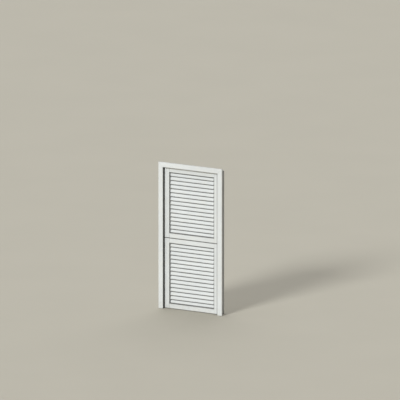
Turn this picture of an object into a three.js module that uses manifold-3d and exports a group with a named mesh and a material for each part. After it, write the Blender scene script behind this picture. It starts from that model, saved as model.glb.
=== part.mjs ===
// Swinging doors: two louvred leaves, one above the other, in a cased frame.
// Both leaves turn on one vertical axis at the right-hand jamb, on sprung
// double-action pivots hidden in the stiles and in the gaps between the leaves.
//
// Millimetres, +Z up. X runs along the width, -Y is the front face.
// The origin is on the floor, in the middle of the overall width and depth.

import * as THREE from 'three';
import { mergeVertices } from 'three/addons/utils/BufferGeometryUtils.js';
import Module from 'manifold-3d';

const wasm = await Module();
wasm.setup();

// ---------------------------------------------------------------- dimensions

const GAP = 0.3;                 // clearance kept between touching pieces

// frame
const OPEN_W = 914;              // clear opening between the jambs
const OPEN_H = 2134;             // clear opening height
const JAMB_T = 20;               // lining thickness
const JAMB_D = 152;              // lining depth
const CASING_W = 74;             // casing face width
const CASING_T = 22;             // casing thickness
const CASING_REVEAL = 3;         // jamb edge left showing inside the casing

// leaves
const LEAF_T = 44;               // leaf thickness
const LEAF_RECESS = 28;          // leaf front behind the front edge of the jambs
const SIDE_GAP = 3.5;            // each side of a leaf
const TOP_GAP = 4;               // above the upper leaf
const SEAM = 6;                  // between the leaves
const FLOOR_GAP = 6;             // below the lower leaf
const STILE_W = 76;
const RAIL_H = 71;
const TENON_L = 34;
const TENON_T = 15;
const TENON_H = 43;

// slats
const SLATS = 15;
const SLAT_T = 8;
const SLAT_CHORD = 67;
const SLAT_TILT = 70;            // degrees from horizontal, front edge low
const SLAT_CHAMFER = 2.4;
const SLAT_LIFT = 4.5;           // lowest slat's edge above the bottom rail
const HOUSING_DEPTH = 8;         // slot depth for the slat ends
const SLAT_TOP_CLEAR = 0.5;      // first slat below the top rail

// pivots
const PIN_R = 6;
const PIN_HOLE_R = 6.45;
const COLLAR_R = 11;
const COLLAR_T = 3;
const TONGUE_T = 4;
const TONGUE_END_R = 13;
const PLATE_T = 3;
const PLATE_W = 36;              // along Y
const BOTTOM_PLATE_H = 60;
const MIDDLE_PLATE_H = 110;
const TOP_PLATE_L = 62;
const HOUSE_R = 14;              // spring housing, outside
const HOUSE_IN_R = 11.5;
const HOUSE_FLOOR = 3.4;
const HOUSE_L = 88;
const PIN_UP = 70;               // pin above its collar, inside the housing
const SPRING_R = 9;              // mean radius of the return spring
const WIRE_R = 1.2;
const SPRING_TURNS = 7;
const BUSH_R = 9.7;
const BUSH_FLANGE_R = 13;
const BUSH_FLANGE_T = 2.4;
const BUSH_L = 25;
const PIN_IN_BUSH = 22;

// ------------------------------------------------------------ derived places

const LEAF_W = OPEN_W - 2 * SIDE_GAP;
const LEAF_H = (OPEN_H - TOP_GAP - SEAM - FLOOR_GAP) / 2;
const LEAF_X0 = -LEAF_W / 2;                       // free edge
const LEAF_X1 = LEAF_W / 2;                        // pivot edge
const LEAF_Y0 = -JAMB_D / 2 + LEAF_RECESS;         // front face
const LEAF_Y1 = LEAF_Y0 + LEAF_T;                  // back face
const LOWER_Z = FLOOR_GAP;
const UPPER_Z = FLOOR_GAP + LEAF_H + SEAM;
const AXIS_X = LEAF_X1 - LEAF_T / 2;
const AXIS_Y = (LEAF_Y0 + LEAF_Y1) / 2;
const LOUVRE_X0 = LEAF_X0 + STILE_W;
const LOUVRE_X1 = LEAF_X1 - STILE_W;
const LOUVRE_H = LEAF_H - 2 * RAIL_H;
const PITCH = LOUVRE_H / SLATS;
const JX = OPEN_W / 2;                             // inner face of the jambs
const JY = JAMB_D / 2;

// ------------------------------------------------------------------ materials

const white = { color: 0xe5e7e4, roughness: 0.45, metalness: 0 };
const grey = { color: 0x646665, roughness: 0.55, metalness: 0 };
const steel = { color: 0x9a9c9e, roughness: 0.35, metalness: 1 };
const spring = { color: 0x6d7074, roughness: 0.4, metalness: 1 };
const nylon = { color: 0xd9d7cf, roughness: 0.5, metalness: 0 };

// ------------------------------------------------------------------- geometry

// positions and triangles of a closed geometry, shared corners merged,
// slivers dropped, faces turned outwards
function cleaned(geometry) {
  const g = geometry.clone();
  for (const name of Object.keys(g.attributes)) if (name !== 'position') g.deleteAttribute(name);
  const m = mergeVertices(g, 1e-4);
  const p = m.attributes.position.array;
  const tri = [];
  for (let i = 0; i < m.index.count; i += 3) {
    const a = m.index.getX(i), b = m.index.getX(i + 1), c = m.index.getX(i + 2);
    if (a !== b && b !== c && c !== a) tri.push(a, b, c);
  }
  let v = 0;
  for (let i = 0; i < tri.length; i += 3) {
    const [a, b, c] = [3 * tri[i], 3 * tri[i + 1], 3 * tri[i + 2]];
    v += p[a] * (p[b + 1] * p[c + 2] - p[b + 2] * p[c + 1])
       + p[a + 1] * (p[b + 2] * p[c] - p[b] * p[c + 2])
       + p[a + 2] * (p[b] * p[c + 1] - p[b + 1] * p[c]);
  }
  if (v < 0) for (let i = 0; i < tri.length; i += 3) [tri[i + 1], tri[i + 2]] = [tri[i + 2], tri[i + 1]];
  return { p: Float32Array.from(p), t: Uint32Array.from(tri) };
}

function solid(geometry) {
  const { p, t } = cleaned(geometry);
  return new wasm.Manifold(new wasm.Mesh({ numProp: 3, vertProperties: p, triVerts: t }));
}

function fromSolid(s) {
  const m = s.getMesh();
  const n = m.numProp;
  const p = new Float32Array((m.vertProperties.length / n) * 3);
  for (let i = 0; i < p.length / 3; i++) for (let k = 0; k < 3; k++) p[3 * i + k] = m.vertProperties[n * i + k];
  return meshGeometry(p, m.triVerts);
}

function meshGeometry(p, t) {
  const g = new THREE.BufferGeometry();
  g.setAttribute('position', new THREE.BufferAttribute(Float32Array.from(p), 3));
  g.setIndex(new THREE.BufferAttribute(Uint32Array.from(t), 1));
  g.computeVertexNormals();
  return g;
}

function plain(geometry) {
  const { p, t } = cleaned(geometry);
  return meshGeometry(p, t);
}

function cut(body, ...tools) {
  let s = solid(body);
  for (const t of tools.flat()) s = s.subtract(solid(t));
  return s;
}

function box(x0, x1, y0, y1, z0, z1) {
  const g = new THREE.BoxGeometry(x1 - x0, y1 - y0, z1 - z0);
  g.translate((x0 + x1) / 2, (y0 + y1) / 2, (z0 + z1) / 2);
  return g;
}

function outline(points) {
  return new THREE.Shape(points.map(([u, v]) => new THREE.Vector2(u, v)));
}

function extruded(points, depth) {
  return new THREE.ExtrudeGeometry(outline(points), { depth, bevelEnabled: false, steps: 1 });
}

// outline in (x, y), standing from z0 to z1
function prismZ(points, z0, z1) {
  const g = extruded(points, z1 - z0);
  g.translate(0, 0, z0);
  return g;
}

// outline in (x, z), running from y0 to y1
function prismY(points, y0, y1) {
  const g = extruded(points, y1 - y0);
  g.applyMatrix4(new THREE.Matrix4().makeBasis(
    new THREE.Vector3(1, 0, 0), new THREE.Vector3(0, 0, 1), new THREE.Vector3(0, -1, 0)));
  g.translate(0, y1, 0);
  return g;
}

// outline in (y, z), running from x0 to x1
function prismX(points, x0, x1) {
  const g = extruded(points, x1 - x0);
  g.applyMatrix4(new THREE.Matrix4().makeBasis(
    new THREE.Vector3(0, 1, 0), new THREE.Vector3(0, 0, 1), new THREE.Vector3(1, 0, 0)));
  g.translate(x0, 0, 0);
  return g;
}

// profile of [radius, height] turned about the pivot axis
function turned(profile, sides = 20) {
  const g = new THREE.LatheGeometry(profile.map(([r, z]) => new THREE.Vector2(r, z)), sides);
  g.rotateX(Math.PI / 2);
  g.translate(AXIS_X, AXIS_Y, 0);
  return g;
}

function rod(r, z0, z1, sides = 20) {
  return turned([[0, z0], [r, z0], [r, z1], [0, z1]], sides);
}

function arc(cx, cy, r, a0, a1, n) {
  const pts = [];
  for (let i = 0; i <= n; i++) {
    const a = THREE.MathUtils.degToRad(a0 + (a1 - a0) * i / n);
    pts.push([cx + r * Math.cos(a), cy + r * Math.sin(a)]);
  }
  return pts;
}

// ------------------------------------------------------------------- assembly

const assembly = new THREE.Group();
assembly.name = 'swinging_doors';
// shapes below are drawn about the middle of the lining; the origin is in the middle of the overall depth
assembly.position.y = (CASING_T + GAP) / 2;

function add(group, name, geometry, finish) {
  const mesh = new THREE.Mesh(geometry, new THREE.MeshStandardMaterial(finish));
  mesh.name = name;
  group.add(mesh);
  return mesh;
}

// ---------------------------------------------------------------- fixed frame

const frame = new THREE.Group();
assembly.add(frame);

const BOTTOM_PLATE_Z0 = 1;
const MIDDLE_TONGUE_Z0 = UPPER_Z - SEAM + (SEAM - TONGUE_T) / 2;
const BOTTOM_TONGUE_Z0 = 1;
const MIDDLE_PLATE_Z0 = MIDDLE_TONGUE_Z0 + TONGUE_T / 2 - MIDDLE_PLATE_H / 2;

const plateY0 = AXIS_Y - PLATE_W / 2;
const plateY1 = AXIS_Y + PLATE_W / 2;

add(frame, 'jamb_left', plain(box(-JX - JAMB_T, -JX, -JY, JY, 0, OPEN_H - GAP)), grey);

add(frame, 'jamb_right', fromSolid(cut(
  box(JX, JX + JAMB_T, -JY, JY, 0, OPEN_H - GAP),
  box(JX - 5, JX + PLATE_T + GAP, plateY0 - GAP, plateY1 + GAP, -5, BOTTOM_PLATE_Z0 + BOTTOM_PLATE_H + GAP),
  box(JX - 5, JX + PLATE_T + GAP, plateY0 - GAP, plateY1 + GAP,
    MIDDLE_PLATE_Z0 - GAP, MIDDLE_PLATE_Z0 + MIDDLE_PLATE_H + GAP))), grey);

const topX1 = JX - 3;
const topX0 = topX1 - TOP_PLATE_L;
add(frame, 'head_jamb', fromSolid(cut(
  box(-JX - JAMB_T, JX + JAMB_T, -JY, JY, OPEN_H, OPEN_H + JAMB_T),
  box(topX0 - GAP, topX1 + GAP, plateY0 - GAP, plateY1 + GAP, OPEN_H - 5, OPEN_H + PLATE_T + GAP))), grey);

// casing: two mitred legs and a mitred head on the front face
const ci = JX + CASING_REVEAL, co = ci + CASING_W;
const zi = OPEN_H + CASING_REVEAL, zo = zi + CASING_W;
const MITRE = 0.4;
const legRight = [[ci, 0], [co, 0], [co, zo - MITRE], [ci, zi - MITRE]];
const legLeft = legRight.map(([x, z]) => [-x, z]).reverse();
const headBoard = [[-ci, zi], [ci, zi], [co, zo], [-co, zo]];
const casingY0 = -JY - GAP - CASING_T, casingY1 = -JY - GAP;
add(frame, 'casing_left', plain(prismY(legLeft, casingY0, casingY1)), white);
add(frame, 'casing_right', plain(prismY(legRight, casingY0, casingY1)), white);
add(frame, 'casing_head', plain(prismY(headBoard, casingY0, casingY1)), white);

// bracket: a plate let flush into the jamb and a tongue that reaches to the axis
function bracket(plateZ0, plateH, tongueZ0) {
  const plate = box(JX, JX + PLATE_T, plateY0, plateY1, plateZ0, plateZ0 + plateH);
  const tongue = prismZ([
    [JX + 1, AXIS_Y - TONGUE_END_R],
    [JX + 1, AXIS_Y + TONGUE_END_R],
    ...arc(AXIS_X, AXIS_Y, TONGUE_END_R, 90, 270, 10),
  ], tongueZ0, tongueZ0 + TONGUE_T);
  return solid(plate).add(solid(tongue)).subtract(solid(rod(PIN_HOLE_R, tongueZ0 - 5, tongueZ0 + TONGUE_T + 5)));
}

add(frame, 'bottom_pivot_bracket', fromSolid(bracket(BOTTOM_PLATE_Z0, BOTTOM_PLATE_H, BOTTOM_TONGUE_Z0)), steel);
add(frame, 'middle_pivot_bracket', fromSolid(bracket(MIDDLE_PLATE_Z0, MIDDLE_PLATE_H, MIDDLE_TONGUE_Z0)), steel);
add(frame, 'top_pivot_plate', fromSolid(cut(
  box(topX0, topX1, plateY0, plateY1, OPEN_H, OPEN_H + PLATE_T),
  rod(PIN_HOLE_R, OPEN_H - 5, OPEN_H + PLATE_T + 5))), steel);

// pins: the two that carry a leaf have a thrust collar above the tongue
function collarPin(zLow, tongueTop) {
  const c0 = tongueTop + GAP, c1 = c0 + COLLAR_T;
  return turned([
    [0, zLow], [PIN_R, zLow], [PIN_R, c0], [COLLAR_R, c0], [COLLAR_R, c1], [PIN_R, c1],
    [PIN_R, c1 + PIN_UP - 2], [PIN_R - 2, c1 + PIN_UP], [0, c1 + PIN_UP]]);
}
const bottomTongueTop = BOTTOM_TONGUE_Z0 + TONGUE_T;
const middleTongueTop = MIDDLE_TONGUE_Z0 + TONGUE_T;
add(frame, 'bottom_pivot_pin', plain(collarPin(BOTTOM_TONGUE_Z0, bottomTongueTop)), steel);
add(frame, 'middle_pivot_pin', plain(collarPin(LOWER_Z + LEAF_H - PIN_IN_BUSH, middleTongueTop)), steel);
add(frame, 'top_pivot_pin', plain(rod(PIN_R, UPPER_Z + LEAF_H - PIN_IN_BUSH, OPEN_H + PLATE_T - GAP)), steel);

// --------------------------------------------------------------------- leaves

// slat section in (y, z) about its own centre, grown by g on every side
function slatSection(yc, zc, g = 0) {
  const a = THREE.MathUtils.degToRad(SLAT_TILT);
  const h = SLAT_CHORD / 2 + g, t = SLAT_T / 2 + g, c = SLAT_CHAMFER;
  return [
    [-h + c, -t], [h - c, -t], [h, -t + c], [h, t - c],
    [h - c, t], [-h + c, t], [-h, t - c], [-h, -t + c],
  ].map(([s, n]) => [
    yc + s * Math.cos(a) - n * Math.sin(a),
    zc + s * Math.sin(a) + n * Math.cos(a)]);
}

// the part of an outline that lies below a height
function below(points, zMax) {
  const out = [];
  points.forEach((p, i) => {
    const q = points[(i + 1) % points.length];
    if (p[1] <= zMax) out.push(p);
    if ((p[1] <= zMax) !== (q[1] <= zMax)) {
      const k = (zMax - p[1]) / (q[1] - p[1]);
      out.push([p[0] + k * (q[0] - p[0]), zMax]);
    }
  });
  return out;
}

const sectionHalfHeight = Math.max(...slatSection(0, 0).map((p) => p[1]));

function leaf(prefix, z0) {
  const group = new THREE.Group();
  assembly.add(group);
  const z1 = z0 + LEAF_H;
  const louvreZ0 = z0 + RAIL_H, louvreZ1 = z1 - RAIL_H;
  const yc = (LEAF_Y0 + LEAF_Y1) / 2;

  // slats, 01 at the top
  const centres = [];
  for (let k = 1; k <= SLATS; k++) {
    centres.push(louvreZ0 + SLAT_LIFT + sectionHalfHeight + (SLATS - k) * PITCH);
  }
  const zLimit = louvreZ1 - SLAT_TOP_CLEAR;

  // slots for the slat ends and mortises for the tenons, in both stiles
  const slots = (xa, xb) => centres.map((zc) => prismX(below(slatSection(yc, zc, GAP), zLimit + GAP), xa, xb));
  const tenonZ = (railZ0) => [railZ0 + (RAIL_H - TENON_H) / 2, railZ0 + (RAIL_H + TENON_H) / 2];
  const mortise = (xa, xb, railZ0) => {
    const [a, b] = tenonZ(railZ0);
    return box(xa, xb, yc - TENON_T / 2 - GAP, yc + TENON_T / 2 + GAP, a - GAP, b + GAP);
  };

  // free stile
  add(group, `${prefix}_free_stile`, fromSolid(cut(
    box(LEAF_X0, LOUVRE_X0, LEAF_Y0, LEAF_Y1, z0, z1),
    slots(LOUVRE_X0 - HOUSING_DEPTH, LOUVRE_X0 + 5),
    mortise(LOUVRE_X0 - TENON_L - GAP, LOUVRE_X0 + 5, z0),
    mortise(LOUVRE_X0 - TENON_L - GAP, LOUVRE_X0 + 5, z1 - RAIL_H))), white);

  // pivot stile, its outer edge rounded about the pivot axis
  const houseZ0 = z0 - (LOWER_Z - bottomTongueTop) + 2 * GAP + COLLAR_T;
  const houseZ1 = houseZ0 + HOUSE_L;
  const bushZ0 = z1 - GAP - BUSH_L;
  const flangeZ0 = z1 - GAP - BUSH_FLANGE_T;
  add(group, `${prefix}_pivot_stile`, fromSolid(cut(
    prismZ([
      [LOUVRE_X1, LEAF_Y1], [LOUVRE_X1, LEAF_Y0],
      ...arc(AXIS_X, AXIS_Y, LEAF_T / 2, -90, 90, 14)], z0, z1),
    slots(LOUVRE_X1 - 5, LOUVRE_X1 + HOUSING_DEPTH),
    mortise(LOUVRE_X1 - 5, LOUVRE_X1 + TENON_L + GAP, z0),
    mortise(LOUVRE_X1 - 5, LOUVRE_X1 + TENON_L + GAP, z1 - RAIL_H),
    rod(HOUSE_R + GAP, z0 - 5, houseZ1 + GAP),
    rod(BUSH_R + GAP, bushZ0 - GAP, z1 + 5),
    rod(BUSH_FLANGE_R + GAP, flangeZ0 - GAP, z1 + 5))), white);

  // rails, tenoned into both stiles
  for (const [name, railZ0] of [['top_rail', z1 - RAIL_H], ['bottom_rail', z0]]) {
    const [a, b] = tenonZ(railZ0);
    const body = solid(box(LOUVRE_X0 + GAP, LOUVRE_X1 - GAP, LEAF_Y0, LEAF_Y1, railZ0, railZ0 + RAIL_H));
    const tongue = solid(box(LOUVRE_X0 - TENON_L, LOUVRE_X1 + TENON_L, yc - TENON_T / 2, yc + TENON_T / 2, a, b));
    add(group, `${prefix}_${name}`, fromSolid(body.add(tongue)), white);
  }

  centres.forEach((zc, i) => {
    const name = `${prefix}_slat_${String(i + 1).padStart(2, '0')}`;
    const len = HOUSING_DEPTH - GAP;
    add(group, name, plain(prismX(below(slatSection(yc, zc), zLimit), LOUVRE_X0 - len, LOUVRE_X1 + len)), white);
  });

  // spring housing: a cup in the foot of the pivot stile, standing on the collar
  add(group, `${prefix}_spring_housing`, plain(turned([
    [PIN_HOLE_R, houseZ0], [HOUSE_R, houseZ0], [HOUSE_R, houseZ1], [HOUSE_IN_R, houseZ1],
    [HOUSE_IN_R, houseZ0 + HOUSE_FLOOR], [PIN_HOLE_R, houseZ0 + HOUSE_FLOOR], [PIN_HOLE_R, houseZ0]])), steel);

  // return spring: a torsion coil around the pin
  const springZ0 = houseZ0 + HOUSE_FLOOR + WIRE_R + 2;
  const springL = 52;
  const pts = [];
  const steps = SPRING_TURNS * 10;
  for (let i = 0; i <= steps; i++) {
    const a = 2 * Math.PI * SPRING_TURNS * i / steps;
    pts.push(new THREE.Vector3(
      AXIS_X + SPRING_R * Math.cos(a), AXIS_Y + SPRING_R * Math.sin(a), springZ0 + springL * i / steps));
  }
  const wire = outline(arc(0, 0, WIRE_R, 0, 300, 5));
  add(group, `${prefix}_return_spring`, plain(new THREE.ExtrudeGeometry(wire, {
    steps, bevelEnabled: false, extrudePath: new THREE.CatmullRomCurve3(pts)})), spring);

  // flanged bush in the head of the pivot stile
  add(group, `${prefix}_top_bush`, plain(turned([
    [PIN_HOLE_R, bushZ0], [BUSH_R, bushZ0], [BUSH_R, flangeZ0], [BUSH_FLANGE_R, flangeZ0],
    [BUSH_FLANGE_R, z1 - GAP], [PIN_HOLE_R, z1 - GAP], [PIN_HOLE_R, bushZ0]])), nylon);
}

leaf('upper', UPPER_Z);
leaf('lower', LOWER_Z);

export default assembly;
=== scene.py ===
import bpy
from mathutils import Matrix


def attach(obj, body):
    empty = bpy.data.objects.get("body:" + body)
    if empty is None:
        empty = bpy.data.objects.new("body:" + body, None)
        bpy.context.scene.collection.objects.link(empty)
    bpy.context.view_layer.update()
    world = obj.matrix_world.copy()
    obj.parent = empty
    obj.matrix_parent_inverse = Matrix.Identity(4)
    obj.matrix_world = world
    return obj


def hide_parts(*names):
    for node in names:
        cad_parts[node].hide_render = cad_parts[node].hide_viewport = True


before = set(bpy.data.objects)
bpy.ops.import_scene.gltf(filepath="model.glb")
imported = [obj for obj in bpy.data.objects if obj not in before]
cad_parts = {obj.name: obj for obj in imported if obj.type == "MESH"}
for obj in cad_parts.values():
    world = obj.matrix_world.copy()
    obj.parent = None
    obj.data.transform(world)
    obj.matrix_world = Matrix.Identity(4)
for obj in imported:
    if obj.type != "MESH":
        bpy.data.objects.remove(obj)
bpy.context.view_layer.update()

# Louvred swinging doors in a cased frame: painted joinery with eased edges,
# sprung pivots in zinc-plated steel, nylon bushes. Metres, +Z up, -Y front.

import math

import bmesh
import bpy
from mathutils import Matrix, Vector

MM = 0.001

# ------------------------------------------------------------------ dimensions
GAP = 0.3 * MM
OPEN_W, OPEN_H = 914 * MM, 2134 * MM
JAMB_T, JAMB_D = 20 * MM, 152 * MM
CASING_W, CASING_T, CASING_REVEAL = 74 * MM, 22 * MM, 3 * MM
LEAF_T, LEAF_RECESS, SIDE_GAP = 44 * MM, 28 * MM, 3.5 * MM
TOP_GAP, SEAM, FLOOR_GAP = 4 * MM, 6 * MM, 6 * MM
STILE_W, RAIL_H = 76 * MM, 71 * MM
TENON_L, TENON_T, TENON_H = 34 * MM, 15 * MM, 43 * MM
SLATS = 15
SLAT_T, SLAT_CHORD, SLAT_TILT = 8 * MM, 67 * MM, 70
SLAT_LIFT, HOUSING_DEPTH, SLAT_TOP_CLEAR = 4.5 * MM, 8 * MM, 0.5 * MM
SLAT_CHAMFER = 2.4 * MM
PIN_R, PIN_HOLE_R = 6 * MM, 6.45 * MM
COLLAR_R, COLLAR_T = 11 * MM, 3 * MM
TONGUE_T, TONGUE_END_R = 4 * MM, 13 * MM
PLATE_T, PLATE_W = 3 * MM, 36 * MM
BOTTOM_PLATE_H, MIDDLE_PLATE_H, TOP_PLATE_L = 60 * MM, 110 * MM, 62 * MM
HOUSE_R, HOUSE_IN_R, HOUSE_FLOOR, HOUSE_L = 14 * MM, 11.5 * MM, 3.4 * MM, 88 * MM
PIN_UP = 70 * MM
SPRING_R, WIRE_R, SPRING_TURNS = 9 * MM, 1.2 * MM, 7
BUSH_R, BUSH_FLANGE_R, BUSH_FLANGE_T, BUSH_L = 9.7 * MM, 13 * MM, 2.4 * MM, 25 * MM
PIN_IN_BUSH = 22 * MM

LEAF_W = OPEN_W - 2 * SIDE_GAP
LEAF_H = (OPEN_H - TOP_GAP - SEAM - FLOOR_GAP) / 2
LEAF_X0, LEAF_X1 = -LEAF_W / 2, LEAF_W / 2
LEAF_Y0 = -JAMB_D / 2 + LEAF_RECESS
LEAF_Y1 = LEAF_Y0 + LEAF_T
LOWER_Z = FLOOR_GAP
UPPER_Z = FLOOR_GAP + LEAF_H + SEAM
AXIS_X = LEAF_X1 - LEAF_T / 2
AXIS_Y = (LEAF_Y0 + LEAF_Y1) / 2
LOUVRE_X0, LOUVRE_X1 = LEAF_X0 + STILE_W, LEAF_X1 - STILE_W
LOUVRE_H = LEAF_H - 2 * RAIL_H
PITCH = LOUVRE_H / SLATS
JX, JY = OPEN_W / 2, JAMB_D / 2
CI, ZI = JX + CASING_REVEAL, OPEN_H + CASING_REVEAL
CO, ZO = CI + CASING_W, ZI + CASING_W
# shapes are drawn about the middle of the lining; the row's origin is in the middle of the overall depth
DEPTH_SHIFT = (CASING_T + GAP) / 2

# ------------------------------------------------------------------- materials


def link(nt, a, b):
    nt.links.new(a, b)


def coords(nt, scale, rot=(0, 0, 0)):
    """Row-frame coordinates, stretched by scale."""
    tc = nt.nodes.new("ShaderNodeTexCoord")
    mp = nt.nodes.new("ShaderNodeMapping")
    mp.inputs["Scale"].default_value = scale
    mp.inputs["Rotation"].default_value = rot
    link(nt, tc.outputs["Object"], mp.inputs["Vector"])
    return mp.outputs["Vector"]


def noise(nt, vec, scale, detail=3.0, rough=0.55, distortion=0.0):
    n = nt.nodes.new("ShaderNodeTexNoise")
    n.inputs["Scale"].default_value = scale
    n.inputs["Detail"].default_value = detail
    n.inputs["Roughness"].default_value = rough
    n.inputs["Distortion"].default_value = distortion
    link(nt, vec, n.inputs["Vector"])
    return n.outputs["Fac"]


def remap(nt, fac, a0, a1, b0, b1, smooth=False):
    m = nt.nodes.new("ShaderNodeMapRange")
    m.interpolation_type = "SMOOTHSTEP" if smooth else "LINEAR"
    m.inputs["From Min"].default_value = a0
    m.inputs["From Max"].default_value = a1
    m.inputs["To Min"].default_value = b0
    m.inputs["To Max"].default_value = b1
    link(nt, fac, m.inputs["Value"])
    return m.outputs["Result"]


def math2(nt, op, a, b):
    m = nt.nodes.new("ShaderNodeMath")
    m.operation = op
    for i, v in enumerate((a, b)):
        if isinstance(v, (int, float)):
            m.inputs[i].default_value = v
        else:
            link(nt, v, m.inputs[i])
    return m.outputs[0]


def mix(nt, fac, a, b):
    m = nt.nodes.new("ShaderNodeMix")
    m.data_type = "RGBA"
    m.clamp_factor = True
    link(nt, fac, m.inputs[0])
    for i, v in ((6, a), (7, b)):
        if isinstance(v, tuple):
            m.inputs[i].default_value = (*v, 1.0)
        else:
            link(nt, v, m.inputs[i])
    return m.outputs[2]


def attribute(nt, name):
    a = nt.nodes.new("ShaderNodeAttribute")
    a.attribute_name = name
    return a.outputs["Fac"]


def new_material(name):
    m = bpy.data.materials.new(name)
    m.use_nodes = True
    nt = m.node_tree
    return m, nt, nt.nodes["Principled BSDF"]


def shade(c, k):
    return tuple(x * k for x in c)


def paint(name, base, axis, wear, rough=0.42, brush=1.0, dirt=0.07, rubbed=0.55, dust_and_shade=0.7, warm=(1.0, 0.985, 0.955)):
    """Brushed paint on wood. axis is the board's length, along which the brush and the grain run.
    wear is the colour that shows through where the paint is rubbed thin on the edges."""
    m, nt, bsdf = new_material(name)

    def along(k):
        return {"X": (k, 1, 1), "Y": (1, k, 1), "Z": (1, 1, k)}[axis]

    strokes = noise(nt, coords(nt, along(0.02)), 620, 2.0, 0.6)
    laps = noise(nt, coords(nt, along(0.09)), 64, 3.0, 0.55)
    grain = noise(nt, coords(nt, along(0.03)), 190, 3.0, 0.6, 0.5)
    cloud = noise(nt, coords(nt, along(0.6)), 3.4, 3.0, 0.55)
    patch = noise(nt, coords(nt, (1, 1, 1)), 11.0, 2.0, 0.5)

    # colour: a broad cloud of tint, finer brush laps, a little yellowing
    tint = mix(nt, remap(nt, cloud, 0.3, 0.7, 0.0, 1.0, True), shade(base, 0.945), shade(base, 1.02))
    tint = mix(nt, remap(nt, laps, 0.42, 0.68, 0.0, 0.55, True), tint, shade(base, 0.91))
    warm_c = tuple(b * w for b, w in zip(base, warm))
    tint = mix(nt, remap(nt, patch, 0.46, 0.70, 0.0, 0.6, True), tint, warm_c)
    # grain lines that show faintly through the coat
    tint = mix(nt, remap(nt, grain, 0.56, 0.74, 0.0, 0.32, True), tint, shade(base, 0.80))

    # scuffs and dust that gather low down
    sep = nt.nodes.new("ShaderNodeSeparateXYZ")
    link(nt, coords(nt, (1, 1, 1)), sep.inputs[0])
    low = remap(nt, sep.outputs["Z"], 0.0, 0.22, 1.0, 0.0, True)
    scuff = noise(nt, coords(nt, (9, 9, 26)), 1.6, 4.0, 0.65)
    low = math2(nt, "MULTIPLY", low, remap(nt, scuff, 0.42, 0.68, 0.15, 1.0, True))
    tint = mix(nt, math2(nt, "MULTIPLY", low, dirt * 5), tint, tuple(b * k for b, k in zip(base, (0.70, 0.66, 0.60))))

    # rubbed edges
    edge = attribute(nt, "edge")
    rub = noise(nt, coords(nt, (1, 1, 1)), 34, 4.0, 0.7)
    fine = noise(nt, coords(nt, (1, 1, 1)), 260, 2.0, 0.6)
    thin = math2(nt, "MULTIPLY", remap(nt, edge, 0.35, 1.0, 0.0, 1.0, True), remap(nt, rub, 0.46, 0.64, 0.30, 1.0, True))
    thin = math2(nt, "MULTIPLY", thin, remap(nt, fine, 0.36, 0.60, 0.35, 1.0))
    tint = mix(nt, math2(nt, "MULTIPLY", thin, rubbed), tint, wear)

    # painted shade: near-black where the painted-shade mark is set, in corners, gaps and under overhangs
    painted_shade_mask = math2(nt, "MULTIPLY", attribute(nt, "painted_shade"), remap(nt, fine, 0.30, 0.65, 0.86, 1.0))
    painted_shade_mask = math2(nt, "MULTIPLY", painted_shade_mask, remap(nt, rub, 0.30, 0.70, 0.80, 0.95))
    tint = mix(nt, painted_shade_mask, tint, (0.045, 0.043, 0.040))

    # dust on faces that look up, dark enough to also stand as painted shade in the seam and on the ledges under the
    # lowest slats
    geo = nt.nodes.new("ShaderNodeNewGeometry")
    up = nt.nodes.new("ShaderNodeSeparateXYZ")
    link(nt, geo.outputs["Normal"], up.inputs[0])
    ledge = remap(nt, up.outputs["Z"], 0.55, 0.92, 0.0, 1.0, True)
    ledge_variation = noise(nt, coords(nt, (1, 1, 1)), 13, 3.0, 0.55)
    ledge = math2(nt, "MULTIPLY", ledge, remap(nt, ledge_variation, 0.35, 0.60, 0.82, 1.0, True))
    ledge = math2(nt, "MULTIPLY", ledge, dust_and_shade)
    tint = mix(nt, ledge, tint, (0.235, 0.220, 0.195))
    link(nt, tint, bsdf.inputs["Base Color"])

    # sheen of the coat: streaky along the brush, duller where rubbed or dusty
    r = remap(nt, strokes, 0.25, 0.75, rough - 0.07, rough + 0.09)
    r = math2(nt, "ADD", r, math2(nt, "MULTIPLY", thin, 0.22))
    r = math2(nt, "ADD", r, math2(nt, "MULTIPLY", low, 0.15))
    r = math2(nt, "ADD", r, math2(nt, "MULTIPLY", ledge, 0.45))
    link(nt, r, bsdf.inputs["Roughness"])
    bsdf.inputs["Specular IOR Level"].default_value = 0.42

    # relief: brush ridges over soft grain
    h = math2(nt, "ADD", math2(nt, "MULTIPLY", strokes, 0.5), math2(nt, "MULTIPLY", grain, 0.6))
    h = math2(nt, "ADD", h, math2(nt, "MULTIPLY", laps, 0.9))
    b = nt.nodes.new("ShaderNodeBump")
    b.inputs["Strength"].default_value = 0.45 * brush
    b.inputs["Distance"].default_value = 0.0008
    link(nt, h, b.inputs["Height"])
    link(nt, b.outputs["Normal"], bsdf.inputs["Normal"])
    return m


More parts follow.
